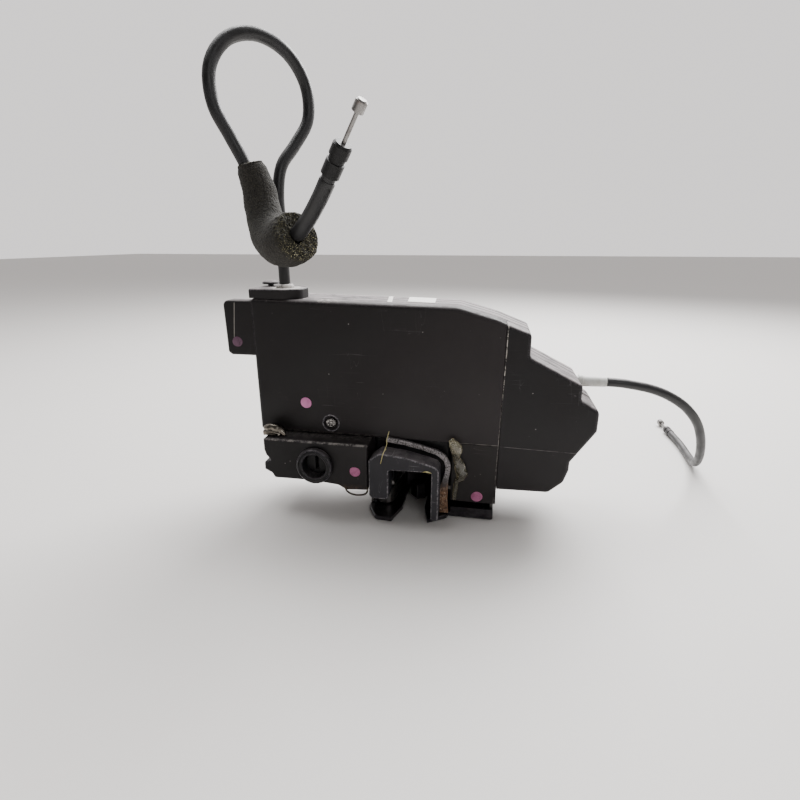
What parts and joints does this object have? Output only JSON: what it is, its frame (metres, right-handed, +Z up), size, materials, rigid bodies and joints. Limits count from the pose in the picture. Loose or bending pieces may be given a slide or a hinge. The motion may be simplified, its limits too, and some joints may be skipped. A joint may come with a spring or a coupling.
{
  "type": "vehicle door latch",
  "caption": "Side-door latch for a vehicle: black plastic housing with a built-in lock motor over a steel striker mouth with a rotary claw and pawl, with two Bowden cables.",
  "frame": {"origin": "centre of the bounding box in plan, at the underside of the mounting plate", "axes": "+X along the housing from the connector end to the release cable end, -Y towards the open side of the striker mouth, +Z up from the mounting plate"},
  "size_m": [0.2947, 0.2333, 0.2452],
  "materials": {
    "housing": "satin black moulding",
    "moulding": "glass-filled black moulding",
    "steel": "zinc-plated, dull",
    "worn_steel": "worn and rusty at the edges",
    "white_plastic": "plain",
    "brass": "machined",
    "rubber": "dull",
    "sheath": "smooth sheath",
    "foam": "porous foam",
    "board": "plain",
    "paper": "blank label"
  },
  "bodies": {
    "housing": {"front_cover": "housing", "side_cover": "housing", "rear_housing": "housing", "connector_housing": "housing", "cable_boss": "housing", "cable_clip": "housing", "lower_carrier": "housing", "carrier_back_cover": "housing", "lower_cover": "housing", "lock_switch": "housing", "terminal_block": "moulding", "handle_cable_gland": "moulding", "key_socket": "moulding", "mouth_guard": "moulding", "latch_body": "moulding", "handle_cable_end": "moulding", "release_cable_end": "moulding", "corner_lug": "worn_steel", "mouth_collar": "worn_steel", "mounting_plate": "steel", "back_plate": "steel", "chamber_wall": "steel", "claw_pivot": "steel", "pawl_pivot": "steel", "claw_spring": "steel", "front_screw": "steel", "lock_motor": "steel", "wheel_axle": "steel", "lock_lever_pin": "steel", "release_lever_pin": "steel", "inside_lever_pin": "steel", "handle_wire": "steel", "handle_wire_nipple": "steel", "release_wire": "steel", "release_wire_nipple": "steel", "release_ferrule": "white_plastic", "striker_buffer": "rubber", "handle_cable": "sheath", "release_cable": "sheath", "foam_sleeve": "foam", "leadframe": "board", "label": "paper", "rear_screw_1": "steel", "rear_screw_2": "steel", "rear_screw_3": "steel", "rear_screw_4": "steel", "rear_screw_5": "steel", "rear_screw_6": "steel"},
    "claw": {"claw": "steel"},
    "pawl": {"pawl": "steel"},
    "key_cam": {"key_cam": "moulding"},
    "worm_wheel": {"worm_wheel": "white_plastic"},
    "motor_worm": {"motor_worm": "brass"},
    "lock_lever": {"lock_lever": "steel"},
    "release_lever": {"release_lever": "steel"},
    "inside_lever": {"inside_lever": "steel"},
    "switch_button": {"switch_button": "white_plastic"}
  },
  "joints": [
    {"name": "claw_turn", "type": "hinge", "parent": "housing", "child": "claw", "pos_m": [0.02043, 0.01315, 0.0032], "axis": [0, 0, 1], "range_deg": [0, 40]},
    {"name": "pawl_turn", "type": "hinge", "parent": "housing", "child": "pawl", "pos_m": [-0.01557, -0.00885, 0.0032], "axis": [0, 0, 1], "range_deg": [-10, 10]},
    {"name": "key_turn", "type": "hinge", "parent": "housing", "child": "key_cam", "pos_m": [-0.05156, -0.01585, 0.0315], "axis": [0, 1, 0], "range_deg": [-45, 45]},
    {"name": "wheel_turn", "type": "hinge", "parent": "housing", "child": "worm_wheel", "pos_m": [-0.03657, 0.00465, 0.0856], "axis": [0, 1, 0], "range_deg": [-60, 60]},
    {"name": "worm_spin", "type": "hinge", "parent": "housing", "child": "motor_worm", "pos_m": [-0.03556, 0.00465, 0.103], "axis": [1, 0, 0], "continuous": true},
    {"name": "lock_turn", "type": "hinge", "parent": "housing", "child": "lock_lever", "pos_m": [-0.00856, 0.01015, 0.075], "axis": [0, 1, 0], "range_deg": [-24, 24]},
    {"name": "release_turn", "type": "hinge", "parent": "housing", "child": "release_lever", "pos_m": [0.03044, 0.00755, 0.066], "axis": [0, 1, 0], "range_deg": [0, 20], "stiffness_Nm_per_rad": 0.05, "springref_deg": -17.19},
    {"name": "inside_turn", "type": "hinge", "parent": "housing", "child": "inside_lever", "pos_m": [-0.05756, -0.00385, 0.06], "axis": [0, 1, 0], "range_deg": [0, 20], "stiffness_Nm_per_rad": 0.05, "springref_deg": -17.19},
    {"name": "button_press", "type": "slide", "parent": "housing", "child": "switch_button", "axis": [0, -1, 0], "range_m": [0, 0.0008], "stiffness_N_per_m": 60, "springref_m": -0.0004}
  ],
  "couplings": [
    {"joint": "lock_turn", "follows": "wheel_turn", "ratio": -0.4}
  ]
}
